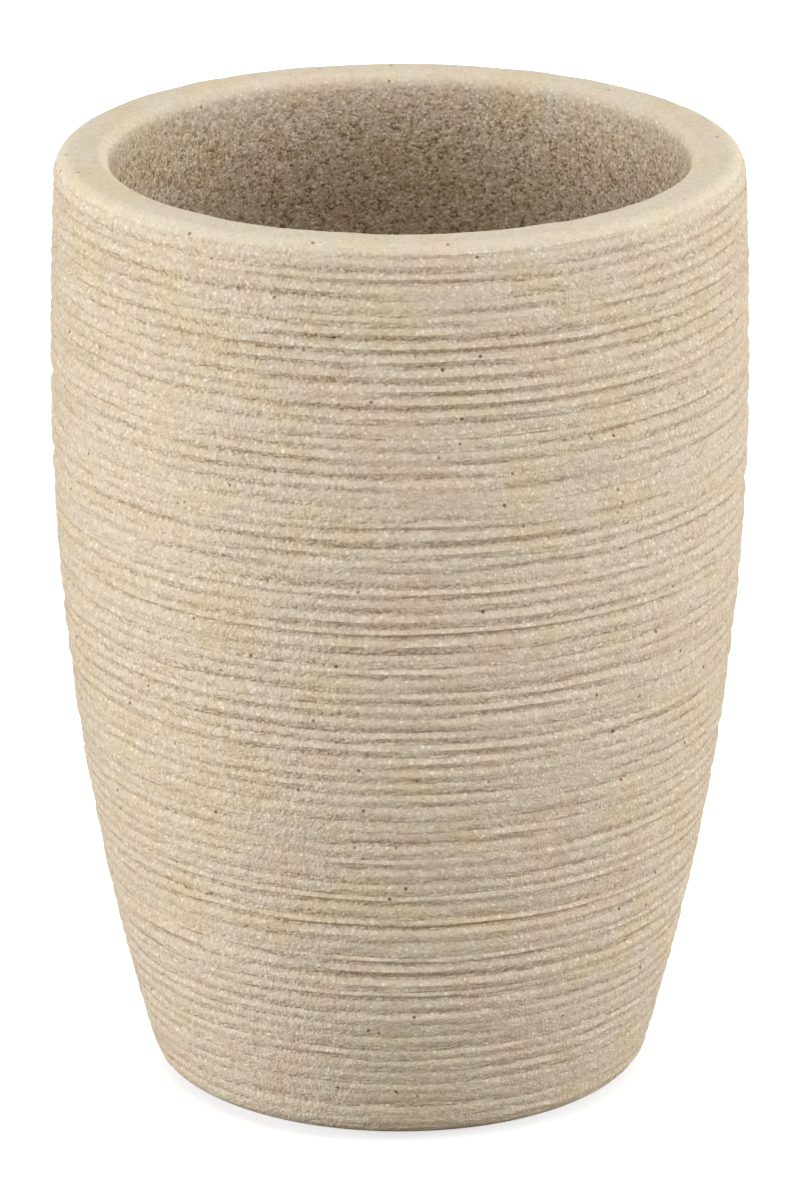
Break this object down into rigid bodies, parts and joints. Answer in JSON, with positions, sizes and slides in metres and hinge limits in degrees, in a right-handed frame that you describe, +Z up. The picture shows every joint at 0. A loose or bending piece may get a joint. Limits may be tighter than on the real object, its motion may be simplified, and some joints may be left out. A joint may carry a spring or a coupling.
{
  "type": "bathroom tumbler",
  "caption": "Free-standing round bathroom tumbler, open at the top and tapered to its base, cast in beige sand-filled resin with a combed outside, a plain rounded rim and anti-slip feet.",
  "frame": {"origin": "on the cup's axis, on the surface that the feet stand on", "axes": "+Z up along the cup's axis, -Y towards the viewer of the picture, +X to the viewer's right"},
  "size_m": [0.0796, 0.0796, 0.11],
  "materials": {
    "sand_resin": "matte sand-filled cast resin, combed outside",
    "foot_rubber": "soft translucent polyurethane",
    "adhesive": "clear acrylic adhesive film"
  },
  "bodies": {
    "root": {"tumbler_body": "sand_resin", "foot_back_right": "foot_rubber", "foot_back_left": "foot_rubber", "foot_front_left": "foot_rubber", "foot_front_right": "foot_rubber", "foot_adhesive_back_right": "adhesive", "foot_adhesive_back_left": "adhesive", "foot_adhesive_front_left": "adhesive", "foot_adhesive_front_right": "adhesive"}
  },
  "joints": []
}
